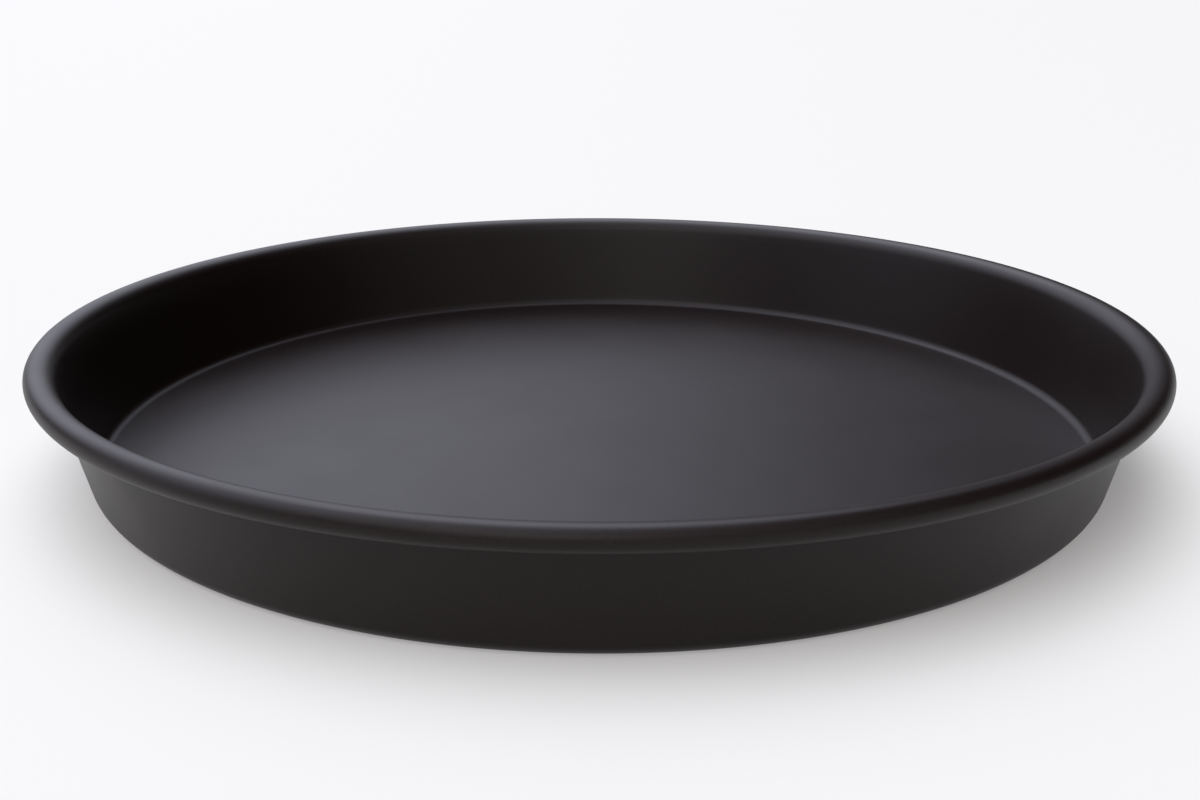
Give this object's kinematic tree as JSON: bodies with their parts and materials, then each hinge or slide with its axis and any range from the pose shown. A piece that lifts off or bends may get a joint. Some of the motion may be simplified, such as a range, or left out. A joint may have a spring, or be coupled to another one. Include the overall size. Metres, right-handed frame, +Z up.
{
  "type": "deep-dish pizza pan",
  "caption": "Round deep-dish baking pan: flat base, wall leaning gently outwards, soft lip, and a rim bead curled over a wire ring, in dark satin anodised aluminium.",
  "frame": {"origin": "centre of the flat underside, on the surface that the pan stands on", "axes": "+Z up, along the pan's axis from the base to the open top; +X to the right and +Y away as the pan is seen from the front, though the pan looks the same from every side"},
  "size_m": [0.37, 0.37, 0.04],
  "materials": {
    "dark_anodised_sheet": "smooth satin, dark charcoal hard anodising, new and unworn",
    "rim_wire_metal": "dull drawn wire"
  },
  "bodies": {
    "root": {"pan_shell": "dark_anodised_sheet", "rim_wire": "rim_wire_metal"}
  },
  "joints": []
}
